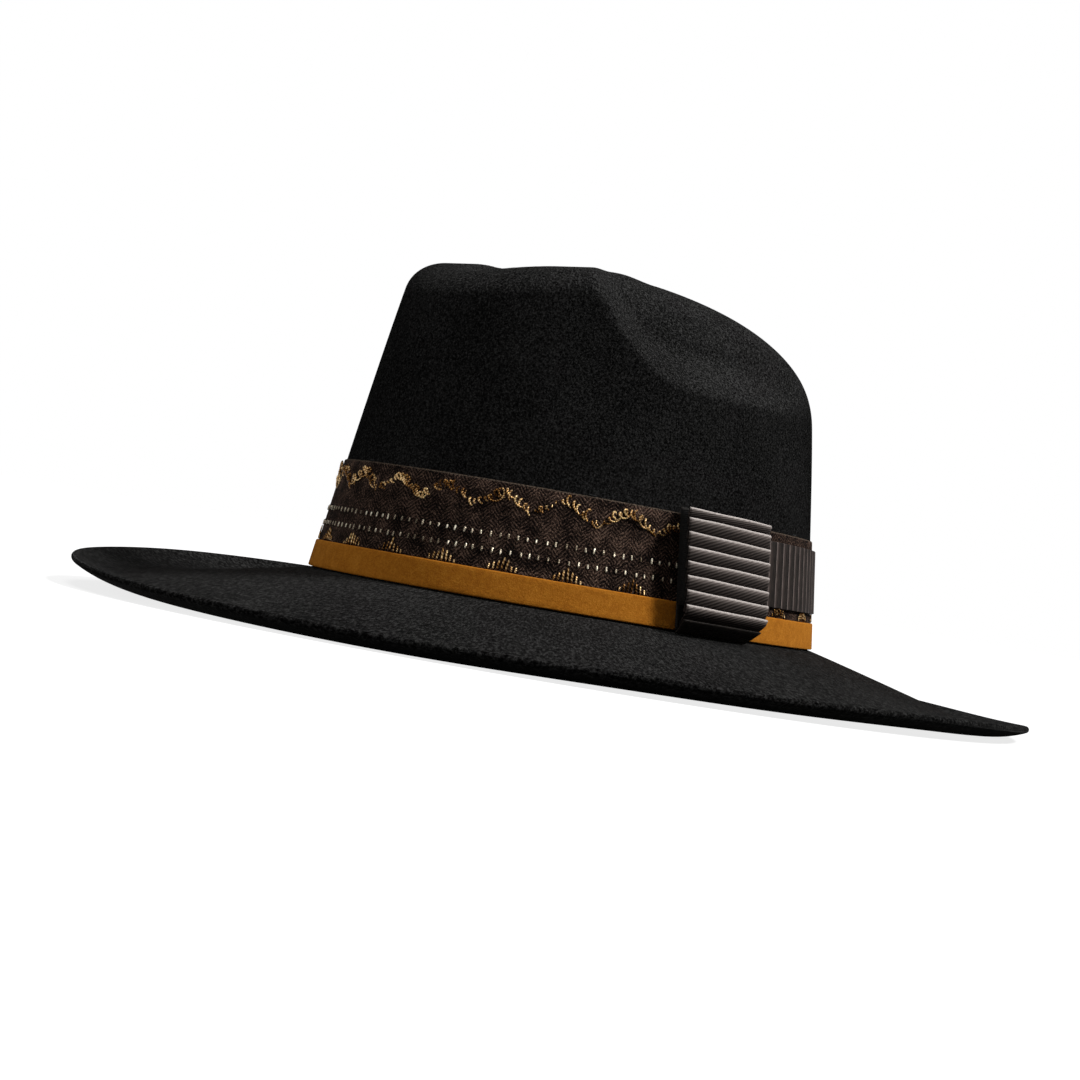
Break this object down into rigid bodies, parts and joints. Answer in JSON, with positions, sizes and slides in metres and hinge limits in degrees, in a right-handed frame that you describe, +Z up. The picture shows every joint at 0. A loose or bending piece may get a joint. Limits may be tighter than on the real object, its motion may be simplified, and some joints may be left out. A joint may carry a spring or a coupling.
{
  "type": "wide-brimmed felt hat",
  "caption": "Wide-brimmed felt hat with a teardrop-creased, pinched crown, a brocade and suede hatband and a pleated side bow; worn on the head.",
  "frame": {"origin": "middle of the hat at the level of the surface that its brim rests on", "axes": "+Z up, -Y toward the front of the hat, +X toward the wearer's left, where the bow is"},
  "size_m": [0.3495, 0.383, 0.1454],
  "materials": {
    "felt": "matte brushed black felt",
    "brocade": "dark brown herringbone weave",
    "gold_thread": "metallic gold thread",
    "silver_thread": "metallic silver thread",
    "suede": "mustard suede nap",
    "grosgrain": "ribbed grey-brown ribbon",
    "backing": "stiff black canvas",
    "dark_thread": "black sewing thread",
    "sweat_leather": "smooth brown leather",
    "reed": "plain white reed",
    "dark_tape": "black tape",
    "tan_thread": "tan sewing thread",
    "satin": "dark brown satin",
    "piping": "bronze corded piping"
  },
  "bodies": {
    "root": {"felt_body": "felt", "brocade_ribbon": "brocade", "zigzag_upper": "gold_thread", "zigzag_lower": "gold_thread", "stitch_row_upper": "silver_thread", "stitch_row_lower": "silver_thread", "suede_band": "suede", "back_ribbon": "grosgrain", "bow_pleats": "grosgrain", "bow_backing": "backing", "bow_tacks": "dark_thread", "band_tacks": "dark_thread", "sweatband": "sweat_leather", "sweatband_reed": "reed", "reed_tape": "dark_tape", "sweatband_stitches": "tan_thread", "joint_stitches": "tan_thread", "small_bow_loops": "dark_tape", "small_bow_knot": "dark_tape", "lining_side": "satin", "lining_tip": "satin", "lining_piping": "piping"}
  },
  "joints": []
}
